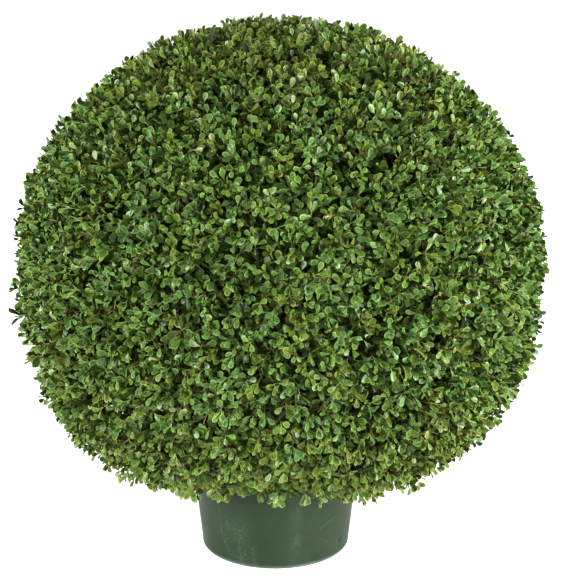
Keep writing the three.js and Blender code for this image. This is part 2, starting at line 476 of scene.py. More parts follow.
def barkToneGroup():
    group, entry, leave = newGroup("barkTone", [
        ("Old", "NodeSocketColor", (0.06, 0.045, 0.025, 1)),
        ("Young", "NodeSocketColor", (0.11, 0.13, 0.04, 1)),
        ("Streaks", "NodeSocketFloat", 0.4),
    ], [
        ("Color", "NodeSocketColor"),
        ("Roughness", "NodeSocketFloat"),
        ("Height", "NodeSocketFloat"),
    ])
    uv = group.nodes.new("ShaderNodeUVMap")
    uv.uv_map = "OFBake"
    parts = group.nodes.new("ShaderNodeSeparateXYZ")
    group.links.new(uv.outputs[0], parts.inputs[0])
    stretch = group.nodes.new("ShaderNodeMapping")
    stretch.inputs["Scale"].default_value = barkFinish["stretch"]
    group.links.new(uv.outputs[0], stretch.inputs["Vector"])
    fibre = noiseOn(group, stretch.outputs[0], barkFinish["fibreScale"], 5)
    age = ramp(group, parts.outputs[1], *barkFinish["ages"])
    colour = blendColours(group, age, entry.outputs["Old"], entry.outputs["Young"])
    streak = maths(group, "MULTIPLY", maths(group, "SUBTRACT", fibre, 0.5), entry.outputs["Streaks"])
    level = maths(group, "ADD", 1.0, maths(group, "MULTIPLY", streak, barkFinish["streakGain"]))
    group.links.new(brightened(group, colour, level), leave.inputs["Color"])
    group.links.new(ramp(group, fibre, *barkFinish["roughness"]), leave.inputs["Roughness"])
    group.links.new(fibre, leave.inputs["Height"])
    return group


def newMaterial(name):
    material = bpy.data.materials.new(name)
    material.use_nodes = True
    tree = material.node_tree
    shader = tree.nodes["Principled BSDF"]
    return material, tree, shader


def bumpFrom(tree, height, strength, distance):
    bump = tree.nodes.new("ShaderNodeBump")
    bump.inputs["Strength"].default_value = strength
    bump.inputs["Distance"].default_value = distance
    tree.links.new(height, bump.inputs["Height"])
    return bump.outputs["Normal"]


leafPattern = leafPatternGroup()
barkTone = barkToneGroup()


# leaf colours, dealt out by spray: one plain blade and rim colour each
leafTints = {
    "leavesDeep": {"blade": (0.035, 0.080, 0.014), "rim": (0.113, 0.183, 0.031), "share": 0.12},
    "leavesGreen": {"blade": (0.046, 0.102, 0.017), "rim": (0.163, 0.246, 0.041), "share": 0.23},
    "leavesFresh": {"blade": (0.054, 0.114, 0.019), "rim": (0.188, 0.270, 0.045), "share": 0.22},
    "leavesCool": {"blade": (0.040, 0.103, 0.023), "rim": (0.147, 0.250, 0.049), "share": 0.15},
    "leavesLime": {"blade": (0.054, 0.092, 0.011), "rim": (0.163, 0.218, 0.025), "share": 0.17},
    "leavesOlive": {"blade": (0.060, 0.092, 0.012), "rim": (0.180, 0.220, 0.028), "share": 0.10},
}
# painted shade: a darker copy of the leaf colours, for the inner pairs of every sprig and for the inner
# sprigs
shadedTint = {"blade": (0.020, 0.038, 0.007), "rim": (0.053, 0.080, 0.012), "gloss": 0.12}


def leafMaterial(name, tint):
    material, tree, shader = newMaterial(name)
    pattern = tree.nodes.new("ShaderNodeGroup")
    pattern.node_tree = leafPattern
    pattern.inputs["Blade"].default_value = (*tint["blade"], 1)
    pattern.inputs["Rim"].default_value = (*tint["rim"], 1)
    pattern.inputs["Rim Width"].default_value = leafLook["rimWidth"]
    pattern.inputs["Shade Spread"].default_value = leafLook["shadeSpread"]
    tree.links.new(pattern.outputs["Color"], shader.inputs["Base Color"])
    tree.links.new(pattern.outputs["Roughness"], shader.inputs["Roughness"])
    tree.links.new(bumpFrom(tree, pattern.outputs["Height"], *leafLook["bump"]), shader.inputs["Normal"])
    shader.inputs["Specular IOR Level"].default_value = tint.get("gloss", leafLook["gloss"])
    return material


def barkMaterial(name):
    old, young, streaks = barkLook[name]
    material, tree, shader = newMaterial(name)
    tone = tree.nodes.new("ShaderNodeGroup")
    tone.node_tree = barkTone
    tone.inputs["Old"].default_value = (*old, 1)
    tone.inputs["Young"].default_value = (*young, 1)
    tone.inputs["Streaks"].default_value = streaks
    tree.links.new(tone.outputs["Color"], shader.inputs["Base Color"])
    tree.links.new(tone.outputs["Roughness"], shader.inputs["Roughness"])
    tree.links.new(bumpFrom(tree, tone.outputs["Height"], *barkFinish["bump"]), shader.inputs["Normal"])
    shader.inputs["Specular IOR Level"].default_value = barkFinish["gloss"]
    return material


# the branching rule: core, boughs, tufts, then sprigs that end under the clipped face
branching = {
    "seed": 24,
    "coreRadius": 0.178,    # moulded core on the stem, which the boughs plug into; its near-black colour is painted shade for the ball's depths
    "boughs": 170,          # first forks, one from each socket of the core
    "tufts": 950,           # second forks, each a tuft of sprigs
    "sprigs": 7400,         # leafy twigs that make the clipped face
    "innerSprigs": 2400,    # shaded ones, along the boughs and tufts
    "boughReach": 0.74,     # where boughs end, as a share of the ball's reach
    "boughBend": 0.5,       # where boughs and tufts bend, as a share of their length
    "tuftBend": 0.45,
    "tuftDepth": 0.036,     # tufts end this far under the clipped face
    "tuftDepthSpread": (0.8, 1.25),
    "gather": 0.04,         # how far sprigs draw in to their tuft
    "jitter": {"boughs": 0.22, "tufts": 0.20, "sprigs": 0.15, "openings": 0.5},
    "wander": {"boughEnd": 0.008, "bend": 0.003, "sprigTip": 0.0016},
    "potGap": {"boughBend": 0.006, "boughEnd": 0.008, "tuftBend": 0.008, "tuftEnd": 0.010,
               "sprigBend": 0.006, "sprigTip": 0.004, "inner": 0.006},
    "tipInset": 0.0050,     # twig tip under the clipped face; its leaves reach on
    "unevenness": 0.0044,   # typical further depth of a tip
    "spreadDepth": 0.10,    # tips sink by this share of their distance from the tuft's middle
    "underLayer": 0.09,     # share of the sprigs that stay well under the face,
    "underDepth": (0.012, 0.028),    # and how far under
    "leaveAt": (0.25, 1.0),     # where along its tuft a sprig starts
    "riseJitter": 0.34,
    "bow": 0.020,           # the most that a sprig's outer stretch can be, past its bend
    "proudShare": 0.05,     # share of the sprigs that stand out past their neighbours
    "proudBy": 0.0020,
    "fringe": (0.62, 0.72),     # how steeply down a sprig points to be in the low fringe
    "fringeLift": 0.0036,   # the fringe's sprigs end a little higher,
    "fringeProud": 0.13,    # but more of them hang,
    "fringeDrop": 0.0012,   # and further
}

openings = {                # dark gaps, where sprigs stop short
    "count": 380,
    "width": (0.008, 0.020),    # in radians, seen from the ball's middle
    "sink": (0.005, 0.012),
}

rng = np.random.RandomState(branching["seed"])

jitter = branching["jitter"]
boughDirections = evenDirections(branching["boughs"], jitter["boughs"], rng)
tuftDirections = evenDirections(branching["tufts"], jitter["tufts"], rng)
sprigDirections = evenDirections(branching["sprigs"], jitter["sprigs"], rng)

boughReach, boughOver = reachOf(boughDirections)
tuftReach, tuftOver = reachOf(tuftDirections)
sprigReach, sprigOver = reachOf(sprigDirections)
typicalReach = float(np.median(sprigReach[~sprigOver]))


def nearest(children, parents):
    return np.argmax(children @ parents.T, axis=1)


def wandering(points, how):
    return points + rng.normal(size=points.shape) * branching["wander"][how]


def offPot(points, which):
    return clearOfPot(points, branching["potGap"][which])


# boughs leave the core square to it, then bend towards their own end
boughDirections = boughDirections[~boughOver]
boughReach = boughReach[~boughOver]
boughStart = ballMiddle + boughDirections * branching["coreRadius"]
boughEnd = ballMiddle + boughDirections * (boughReach * branching["boughReach"])[:, None]
boughEnd = wandering(boughEnd, "boughEnd")
boughSpan = np.linalg.norm(boughEnd - boughStart, axis=1)[:, None]
boughBend = wandering(boughStart + boughDirections * boughSpan * branching["boughBend"], "bend")
boughBend = offPot(boughBend, "boughBend")
boughEnd = offPot(boughEnd, "boughEnd")

tuftDirections = tuftDirections[~tuftOver]
tuftReach = tuftReach[~tuftOver]
tuftParent = nearest(tuftDirections, boughDirections)
tuftStart = boughEnd[tuftParent]
tuftDepth = branching["tuftDepth"] * rng.uniform(*branching["tuftDepthSpread"], len(tuftReach))
tuftEnd = ballMiddle + tuftDirections * (tuftReach - tuftDepth)[:, None]
tuftEnd = offPot(tuftEnd, "tuftEnd")
boughHeading = unit(boughEnd - boughBend)[tuftParent]
tuftSpan = np.linalg.norm(tuftEnd - tuftStart, axis=1)[:, None]
tuftBend = wandering(tuftStart + boughHeading * tuftSpan * branching["tuftBend"], "bend")
tuftBend = offPot(tuftBend, "tuftBend")

sprigDirections = sprigDirections[~sprigOver]
sprigReach = sprigReach[~sprigOver]
sprigTuft = nearest(sprigDirections, tuftDirections)
drawn = unit(sprigDirections + branching["gather"] * (tuftDirections[sprigTuft] - sprigDirections))
spread = np.linalg.norm(sprigDirections - tuftDirections[sprigTuft], axis=1) * typicalReach
count = len(sprigReach)
depth = branching["tipInset"] + rng.exponential(branching["unevenness"], count)
depth = depth + branching["spreadDepth"] * spread
fringe = smoothStep(*branching["fringe"], -drawn[:, 2])
depth = depth + branching["fringeLift"] * fringe
proud = rng.random_sample(count) < branching["proudShare"] + branching["fringeProud"] * fringe
proudDepth = branching["tipInset"] - branching["proudBy"] - branching["fringeDrop"] * fringe
depth = np.where(proud, proudDepth, depth)
gaps = evenDirections(openings["count"], jitter["openings"], rng)
gapWidth = rng.uniform(*openings["width"], len(gaps))
away = np.sqrt(np.maximum(2 - 2 * (drawn @ gaps.T), 0)) / gapWidth[None]
depth = depth + (away.min(axis=1) < 1) * rng.uniform(*openings["sink"], count)
under = rng.random_sample(count) < branching["underLayer"]
depth = np.where(under, rng.uniform(*branching["underDepth"], count), depth)

sprigTip = ballMiddle + drawn * (sprigReach - depth)[:, None]
sprigTip = offPot(wandering(sprigTip, "sprigTip"), "sprigTip")
leaveAt = rng.uniform(*branching["leaveAt"], count)
sprigStart, _ = curveAt(tuftStart[sprigTuft], tuftBend[sprigTuft], tuftEnd[sprigTuft], leaveAt)
outward = unit(sprigTip - ballMiddle)
sprigSpan = np.linalg.norm(sprigTip - sprigStart, axis=1)[:, None]
rising = unit(outward + rng.normal(size=sprigTip.shape) * branching["riseJitter"])
sprigBend = sprigTip - rising * np.minimum(sprigSpan * 0.5, branching["bow"])
sprigBend = offPot(sprigBend, "sprigBend")


innerRule = {
    "onTuft": 0.6,                  # share that leave a tuft; the rest leave a bough
    "alongBough": (0.45, 1.0),
    "alongTuft": (0.05, 0.75),
    "forward": 0.7,
    "splay": 0.75,
    "length": (0.026, 0.044),
}


def innerSprigs():
    # shaded sprigs leave the boughs and the lower part of the tufts, sideways and out
    n = branching["innerSprigs"]
    onTuft = rng.random_sample(n) < innerRule["onTuft"]
    bough = rng.randint(0, len(boughEnd), n)
    tuft = rng.randint(0, len(tuftEnd), n)
    t = rng.uniform(*innerRule["alongBough"], n)
    a, headingA = curveAt(boughStart[bough], boughBend[bough], boughEnd[bough], t)
    t = rng.uniform(*innerRule["alongTuft"], n)
    b, headingB = curveAt(tuftStart[tuft], tuftBend[tuft], tuftEnd[tuft], t)
    start = np.where(onTuft[:, None], b, a)
    heading = np.where(onTuft[:, None], headingB, headingA)
    pointing = unit(innerRule["forward"] * heading + rng.normal(size=(n, 3)) * innerRule["splay"])
    span = rng.uniform(*innerRule["length"], n)[:, None]
    end = offPot(start + pointing * span, "inner")
    bend = offPot(start + unit(heading + pointing) * span * 0.5, "inner")
    return start, bend, end


innerStart, innerBend, innerEnd = innerSprigs()
print("branching:", len(boughEnd), "boughs,", len(tuftEnd), "tufts,", count, "sprigs")


leaf = {
    "length": 0.0134,
    "halfWidth": 0.0031,
    # rows across a leaf, as shares of its length and half width
    "rows": ((0.29, 0.21), (0.53, 0.80), (0.80, 1.0), (0.97, 0.48)),
    "innerRows": ((0.42, 0.60), (0.78, 1.0)),
    "cup": 0.0010,          # rise of the blade's sides
    "cupSpread": (0.3, 1.7),
    "arch": 0.0017,         # fall of its tip
    "archSpread": (-0.3, 1.9),
    "pairs": 5,             # opposite pairs up each sprig, each turned a quarter from the last
    "finePairs": 3,         # the outer pairs, made with the full outline
    "pairStep": 0.0054,
    "firstPair": 0.15,      # the outer pair sits this share of a step below the tip
    "lowestPair": 0.02,     # no pair sits lower than this share of its sprig
    "stretch": (0.85, 1.25),
    "spread": (27, 42, 52, 58, 62),    # degrees off the twig, from the tip down
    "size": (0.84, 0.95, 1.0, 1.08, 1.1),
    "sizeOfSprig": (0.88, 1.12),
    "sizeOfLeaf": (0.80, 1.14),
    "innerSize": 1.45,      # shaded leaves are fewer and larger
    "innerPairs": 4,
    "turnJitter": 0.32,
    "spreadJitter": 16,     # in degrees
    "pointJitter": 0.22,
    "droop": 0.06,
    "roll": 0.65,
    "potGap": 0.0007,
    # shares of the ball's height under which leaves hang fully, and begin to
    "hangHeights": (0.0225, 0.09),
    "hang": 0.60,
    "hangLook": 0.3,        # how far up their faces look
}


def fineOutline():
    # a narrow neck, two cupped rows and a blunt tip
    along, across = [0.0], [0.0]
    for number, (s, w) in enumerate(leaf["rows"]):
        cupped = number in (1, 2)
        along += [s] * (3 if cupped else 2)
        across += [-w, 0.0, w] if cupped else [-w, w]
    faces = [(0, 2, 1), (1, 2, 4), (2, 5, 4), (1, 4, 3),
             (4, 5, 8), (4, 8, 7), (3, 4, 7), (3, 7, 6),
             (7, 8, 10), (7, 10, 9), (6, 7, 9)]
    return np.array(along), np.array(across), np.array(faces)


def plainOutline():
    (s1, w1), (s2, w2) = leaf["innerRows"]
    along = [0.0, s1, s1, s2, s2, 1.0]
    across = [0.0, -w1, w1, -w2, w2, 0.0]
    faces = [(0, 2, 1), (1, 2, 4), (1, 4, 3), (3, 4, 5)]
    return np.array(along), np.array(across), np.array(faces)


def leafBlades(root, heading, face, size, cell, outline):
    # one blade a row: root point, the way it points, the way its upper face looks
    along, across, faces = outline
    n = len(root)
    width = np.cross(heading, face)
    cup = leaf["cup"] * rng.uniform(*leaf["cupSpread"], n) * size
    arch = leaf["arch"] * rng.uniform(*leaf["archSpread"], n) * size
    rise = cup[:, None] * (across ** 2)[None] - arch[:, None] * (along ** 2)[None]
    verts = (root[:, None]
             + heading[:, None] * (along[None] * (leaf["length"] * size)[:, None])[..., None]
             + width[:, None] * (across[None] * (leaf["halfWidth"] * size)[:, None])[..., None]
             + face[:, None] * rise[..., None])
    verts = clearOfPot(verts, leaf["potGap"])
    k = len(along)
    allFaces = (faces[None] + (np.arange(n) * k)[:, None, None]).reshape(-1, 3)
    span = 1 - 2 * cellMargin
    column, row = cell % uvCells, cell // uvCells
    u = (column[:, None] + 0.5 + across[None] * span / 2) / uvCells
    v = (row[:, None] + cellMargin + along[None] * span) / uvCells
    return verts.reshape(-1, 3), allFaces, np.stack([u, v], axis=-1).reshape(-1, 2)


def newHabit(n, size):
    # how each sprig sets its leaves: turn of the first pair, stretch between pairs, leaf size
    return {
        "turn": rng.uniform(0, 2 * math.pi, n),
        "stretch": rng.uniform(*leaf["stretch"], n),
        "size": rng.uniform(*leaf["sizeOfSprig"], n) * size,
        "side": unit(rng.normal(size=(n, 3))),
    }


def sprayLeaves(curves, habit, chosen, pairs, outline):
    # leaves of the chosen sprigs, for the given pairs
    start, bend, end = (c[chosen] for c in curves)
    turnOf, stretch, sizeOf, sideOf = (habit[k][chosen] for k in ("turn", "stretch", "size", "side"))
    length = np.linalg.norm(end - bend, axis=1) + np.linalg.norm(bend - start, axis=1)
    parts = []
    for k in pairs:
        n = len(chosen)
        back = leaf["pairStep"] * (k + leaf["firstPair"]) * stretch
        t = np.clip(1 - back / length, leaf["lowestPair"], 1)
        root, heading = curveAt(start, bend, end, t)
        side = unit(np.cross(heading, sideOf))
        other = np.cross(heading, side)
        for half in (0, 1):
            turn = turnOf + k * math.pi / 2 + half * math.pi + rng.normal(0, leaf["turnJitter"], n)
            spreadBy = np.radians(leaf["spread"][k] + rng.normal(0, leaf["spreadJitter"], n))
            around = side * np.cos(turn)[:, None] + other * np.sin(turn)[:, None]
            pointing = heading * np.cos(spreadBy)[:, None] + around * np.sin(spreadBy)[:, None]
            pointing = pointing + rng.normal(0, leaf["pointJitter"], (n, 3))
            pointing = unit(pointing + np.array([0, 0, -leaf["droop"]]))
            # the lowest leaves hang, with their upper faces turned out
            share = (root[:, 2:] - foliageLow[2]) / ballHeight
            hanging = 1 - smoothStep(*leaf["hangHeights"], share)
            pointing = unit(pointing + hanging * np.array([0, 0, -leaf["hang"]]))
            sideways = unit((root - ballMiddle) * np.array([1, 1, 0]))
            out = sideways + np.array([0, 0, leaf["hangLook"]])
            look = unit(heading * (1 - hanging) + hanging * out)
            face = unit(look - (look * pointing).sum(axis=1, keepdims=True) * pointing)
            roll = rng.normal(0, leaf["roll"], n)
            face = unit(face * np.cos(roll)[:, None] + np.cross(pointing, face) * np.sin(roll)[:, None])
            size = leaf["size"][k] * rng.uniform(*leaf["sizeOfLeaf"], n) * sizeOf
            cell = rng.randint(0, uvCells * uvCells, n)
            parts.append(leafBlades(root, pointing, face, size, cell, outline))
    return joinParts(parts)


sprigCurves = (sprigStart, sprigBend, sprigTip)
innerCurves = (innerStart, innerBend, innerEnd)
sprigHabit = newHabit(count, 1.0)
innerHabit = newHabit(len(innerEnd), leaf["innerSize"])

tintRule = {
    "low": (0.04, 0.34),    # heights over which the low and the crest colours fade in or out,
    "crest": (0.72, 0.98),  # as shares of the ball's height
    "limeLow": 6.0,
    "olive": 0.25,
    "oliveLow": 4.0,
    "oliveCrest": 4.5,
    "cool": 1.5,
    "coolLoss": 1.3,
    "deepUnder": 12,
    "tuftMood": 0.15,       # share of the sprigs that take their whole tuft's colour
}


def dealTints():
    # each spray gets one colour: limes gather low down, olives low down and at the crest,
    # and the deep green goes mostly to the sprigs under the face, as painted shade
    names = list(leafTints)
    height = (sprigTip[:, 2] - foliageLow[2]) / ballHeight
    weights = np.tile([leafTints[name]["share"] for name in names], (count, 1))
    low = 1 - smoothStep(*tintRule["low"], height)
    crest = smoothStep(*tintRule["crest"], height)
    olive = tintRule["olive"] + tintRule["oliveLow"] * low + tintRule["oliveCrest"] * crest
    weights[:, names.index("leavesLime")] *= 1 + tintRule["limeLow"] * low
    weights[:, names.index("leavesOlive")] *= olive
    weights[:, names.index("leavesCool")] *= tintRule["cool"] - tintRule["coolLoss"] * np.maximum(low, crest)
    # painted shade: the sprigs under the face mostly take the deep green
    weights[under, names.index("leavesDeep")] *= tintRule["deepUnder"]
    weights = np.cumsum(weights / weights.sum(axis=1, keepdims=True), axis=1)
    tuftMood = rng.random_sample(len(tuftEnd))[sprigTuft]
    own = rng.random_sample(count)
    pick = np.where(rng.random_sample(count) < tintRule["tuftMood"], tuftMood, own)
    return names, (pick[:, None] > weights[:, :-1]).sum(axis=1)


def leafPiece(name, tint, mesh):
    piece = newPiece(name, *mesh)
    piece.data.materials.append(leafMaterial(name, tint))
    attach(piece, "root")
    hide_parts("foliage")
    print("leaves:", name, len(piece.data.polygons), "faces")


tintNames, sprigTint = dealTints()
outerPairs = range(leaf["finePairs"])
innerPairs = range(leaf["finePairs"], leaf["pairs"])
for number, name in enumerate(tintNames):
    chosen = np.nonzero(sprigTint == number)[0]
    mesh = sprayLeaves(sprigCurves, sprigHabit, chosen, outerPairs, fineOutline())
    leafPiece(name, leafTints[name], mesh)
everySprig = np.arange(count)
everyInner = np.arange(len(innerEnd))
leafPiece("leavesShaded", shadedTint, joinParts([
    sprayLeaves(sprigCurves, sprigHabit, everySprig, innerPairs, plainOutline()),
    sprayLeaves(innerCurves, innerHabit, everyInner, range(leaf["innerPairs"]), plainOutline()),
]))


# radii at the start and the end of each kind of tube
twigs = {
    "twig": {"radius": (0.00070, 0.00042), "sides": 3},
    "tuft": {"radius": (0.00125, 0.0007), "sides": 5, "relief": 0.08, "potGap": 0.003},
    "bough": {"radius": (0.0024, 0.0013), "sides": 8, "relief": 0.10, "potGap": 0.004},
    "socket": {"radius": (0.0052, 0.0038), "sides": 10},
}


def tapered(paths, kind):
    n, k = paths.shape[:2]
    radii = np.tile(np.linspace(*kind["radius"], k), (n, 1))
    return tubes(paths, radii, kind["sides"], kind.get("relief", 0.0))


def twigPiece():
    piece = newPiece("twigs", *joinParts([
        tapered(curvePoints(sprigStart, sprigBend, sprigTip, 3), twigs["twig"]),
        tapered(curvePoints(innerStart, innerBend, innerEnd, 2), twigs["twig"]),
    ]))
    piece.data.materials.append(barkMaterial("twigPlastic"))
    return piece


def boughPiece():
    tuftPaths = curvePoints(tuftStart, tuftBend, tuftEnd, 5)
    boughPaths = curvePoints(boughStart, boughBend, boughEnd, 6)
    piece = newPiece("boughs", *joinParts([
        tapered(clearOfPot(tuftPaths, twigs["tuft"]["potGap"]), twigs["tuft"]),
        tapered(clearOfPot(boughPaths, twigs["bough"]["potGap"]), twigs["bough"]),
    ]))
    piece.data.materials.append(barkMaterial("boughBark"))
    return piece


core = {
    "rings": 48,
    "sides": 72,
    "poleGap": 0.0015,      # radians
    "seamRise": 0.0016,
    "seamWidth": 0.02,      # radians
    "mapTurn": 7,           # radians that fill the map across,
    "mapDown": 3.3,         # and down
    "socketFoot": 0.002,
    "socketLength": 0.007,
}


def corePiece():
    # two moulded halves with a seam round the middle, and a socket for each bough
    rings, sides = core["rings"], core["sides"]
    down = np.linspace(core["poleGap"], math.pi - core["poleGap"], rings)[:, None]
    turn = (2 * np.pi * np.arange(sides) / sides)[None]
    seam = core["seamRise"] * np.exp(-((down - math.pi / 2) / core["seamWidth"]) ** 2)
    r = branching["coreRadius"] + seam
    ball = np.stack([r * np.sin(down) * np.cos(turn), r * np.sin(down) * np.sin(turn),
                     r * np.cos(down) * np.ones_like(turn)], axis=-1)
    faces = ringFaces(rings, sides)[:, ::-1]    # these rings go down
    uvs = np.stack([np.broadcast_to(turn / core["mapTurn"], (rings, sides)),
                    np.broadcast_to(down / core["mapDown"], (rings, sides))], axis=-1)
    foot = boughStart - boughDirections * core["socketFoot"]
    lip = boughStart + boughDirections * core["socketLength"]
    piece = newPiece("core", *joinParts([
        (ballMiddle + ball.reshape(-1, 3), faces, uvs.reshape(-1, 2)),
        tapered(curvePoints(foot, (foot + lip) / 2, lip, 2), twigs["socket"]),
    ]))
    piece.data.materials.append(barkMaterial("coreShadePlastic"))
    return piece


for piece in (twigPiece(), boughPiece(), corePiece()):
    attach(piece, "root")
    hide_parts("foliage")
    print(piece.name + ":", len(piece.data.polygons), "faces")


stem = {
    "footRadius": 0.0128,
    "forkRadius": 0.0083,
    "flare": 0.0028,
    "flareHeight": 0.016,
    "soil": 0.129,
    "sides": 28,
    "rings": 90,
    "relief": 0.0006,
    "ridges": (5, 3, 60),           # how many, how far they sway, and how often to the metre
    "plates": (11, 420, 700, 2),    # how many, their twist, their rows, and the rows' slant
    "sunk": 0.6,                    # how far the relief is sunk, as a share of its depth
}


def stemPiece():
    sides, rings = stem["sides"], stem["rings"]
    z = np.linspace(stemLow[2], stemHigh[2], rings)
    along = (z - stemLow[2]) / (stemHigh[2] - stemLow[2])
    x = along * ballMiddle[0]
    radius = np.interp(along, [0, 1], [stem["footRadius"], stem["forkRadius"]])
    radius = radius + stem["flare"] * np.exp(-((z - stem["soil"]) / stem["flareHeight"]) ** 2)
    turn = 2 * np.pi * np.arange(sides) / sides
    up = z[:, None]
    ridges, sway, swayRate = stem["ridges"]
    ridge = np.sin(ridges * turn[None] + sway * np.sin(up * swayRate)) * 0.5
    plates, twist, rows, slant = stem["plates"]
    plate = np.sin(plates * turn[None] + up * twist) * np.sin(up * rows + slant * turn[None]) * 0.5
    r = radius[:, None] + stem["relief"] * (ridge + plate - stem["sunk"])
    body = np.stack([x[:, None] + r * np.cos(turn), r * np.sin(turn), np.repeat(up, sides, 1)], -1)
    ends = np.array([[x[0], 0, z[0]], [x[-1], 0, z[-1]]])
    verts = np.concatenate([body.reshape(-1, 3), ends])
    uvs = np.concatenate([tubeMap(turn, rings), [[0.5, 0.0], [0.5, 1.0]]])
    piece = newPiece("stemBark", verts, closedRings(rings, sides), uvs)
    piece.data.materials.append(barkMaterial("stemBark"))
    return piece


stemMesh = stemPiece()
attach(stemMesh, "root")
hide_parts("stem")
print("stem done")


def potProfile():
    # outside up from the middle of the underside, over the lip, and down inside
    foot = pot["footRound"]
    points = [(0.0, 0.0)] + [(r, 0.0) for r in pot["underside"]]
    for i in range(pot["footSteps"] + 1):
        turn = math.radians(-90 + 90 * i / pot["footSteps"])
        points.append((pot["footRadius"] + foot * math.cos(turn), foot + foot * math.sin(turn)))
    lipBottom = pot["height"] - pot["lipHeight"]
    steps = int((lipBottom - foot) / pot["ringStep"])
    for i in range(1, steps + 1):
        z = foot + (lipBottom - foot) * i / steps
        points.append((potOutside(z), z))
    outside = potOutside(lipBottom) + pot["lipReach"]
    r = pot["lipRound"]
    for low, high, centre in ((-90, 0, lipBottom + r), (0, 90, pot["height"] - r)):
        for i in range(pot["lipSteps"] + 1):
            turn = math.radians(low + (high - low) * i / pot["lipSteps"])
            points.append((outside - r + r * math.cos(turn), centre + r * math.sin(turn)))
    inside = potOutside(pot["height"]) - pot["wall"]
    top = pot["height"] - pot["mouthBevel"]
    points += [(inside + pot["mouthBevel"], pot["height"]), (inside, top)]
    for i in range(1, pot["insideSteps"] + 1):
        z = top + (pot["floor"] - top) * i / pot["insideSteps"]
        points.append((potOutside(z) - pot["wall"], z))
    points.append((0.0, pot["floor"]))
    return points


def moulding(turn, z):
    # a ripple that only dips in from the wall
    ripple = sum(share * np.sin(waves * turn + phase)[None] * np.sin(z * risingWaves + risingPhase)
                 for waves, phase, risingWaves, risingPhase, share in pot["ripples"])
    highest = sum(row[-1] for row in pot["ripples"])
    return pot["waviness"] * (ripple - highest)


def potPiece():
    profile = np.array(potProfile())
    sides = pot["sides"]
    turn = 2 * np.pi * np.arange(sides) / sides
    r = np.repeat(profile[:, :1], sides, axis=1)
    z = np.repeat(profile[:, 1:], sides, axis=1)
    wallTop = pot["height"] - pot["lipHeight"] - pot["rippleStop"]
    onWall = (z > pot["footRound"]) & (z < wallTop)
    outer = np.arange(len(profile))[:, None] <= np.argmax(profile[:, 1])
    r = r + np.where(onWall & outer, moulding(turn, z), 0)
    # small moulded dimple low on the right
    arc = (turn[None] - math.radians(pot["dimpleTurn"] - 90) + np.pi) % (2 * np.pi) - np.pi
    away = np.sqrt((arc * r) ** 2 + (z - pot["dimpleHeight"]) ** 2) / pot["dimpleRadius"]
    r = r - np.where(outer, pot["dimpleDepth"] * np.exp(-away ** 2), 0)
    body = np.stack([r * np.cos(turn), r * np.sin(turn), z], axis=-1)[1:-1]
    ends = np.array([[0, 0, profile[0, 1]], [0, 0, profile[-1, 1]]])
    verts = np.concatenate([body.reshape(-1, 3), ends])
    return newPiece("potPlastic", verts, closedRings(len(body), sides))


potLook = {
    "colour": (0.0182, 0.0306, 0.0160),
    "pale": (0.060, 0.090, 0.060),
    "dark": (0.0146, 0.0262, 0.0133),
    "wallScale": 0.088,     # metres of wall to a radian
    # strokes: degrees round from the front and height, the same for the far end,
    # then width, wander, strength and grain
    "scuffsAndSheen": (
        (-44, 0.070, -43, 0.036, 0.0015, 0.004, 0.50, 1.0),
        (-43, 0.036, -37, 0.016, 0.0014, 0.004, 0.55, 1.0),
        (-37, 0.016, -30, 0.007, 0.0012, 0.004, 0.45, 1.0),
        (-39, 0.060, -36, 0.046, 0.0040, 0.020, 0.32, 1.0),
        (-17, 0.024, -16, 0.002, 0.0060, 0.010, 0.40, 0.9),
        (-28, 0.046, -25, 0.004, 0.0230, 0.024, 0.31, 0.9),
        # the next two strokes are a painted sheen, a soft pale column where a lamp's reflection falls
        (15, 0.012, 15, 0.034, 0.0100, 0.001, 0.30, 0.25),
        (15, 0.034, 15, 0.090, 0.0095, 0.001, 0.25, 0.15),
        (35, 0.047, 50, 0.055, 0.0013, 0.003, 0.42, 1.0),
        (41, 0.026, 42, 0.027, 0.0032, 0.002, 0.46, 1.0),
        (24, 0.020, 25, 0.006, 0.0040, 0.004, 0.18, 1.0),
    ),
    "waveScale": 55,
    "wavePatches": (0.35, 0.6, 0.35, 1.0),     # from low, from high, to low, to high
    "strokeSpeckScale": 330,
    "strokeSpecks": (0.40, 0.62, 0.25, 1.5),
    "cloudScale": 16,
    "clouds": (0.35, 0.7),
    "speckScale": 420,
    "speckEdge": (0.60, 0.74),
    "speckPatches": (0.45, 0.65),
    "speckShare": 0.30,
    "grainScale": 900,
    "footEdge": (0.0020, 0.0062),    # heights where the foot's painted light fades
    "footPatches": (0.35, 0.6, 0.45, 1.0),
    "footLightStrength": 0.85,
    "footLitColour": (0.100, 0.165, 0.115),
    # painted shade in the dimple: its colour, how much of it, and how far it reaches
    "dimpleShade": (0.003, 0.006, 0.003),
    "dimpleShadeShare": 0.8,
    "dimpleShadeReach": (0.3, 1.25),       # in dimple radii
    "roughness": (0.3, 0.7, 0.32, 0.42),
    "paleMarkRoughness": 0.15,
    "bump": (0.18, 0.0006),
    "gloss": 0.14,
}


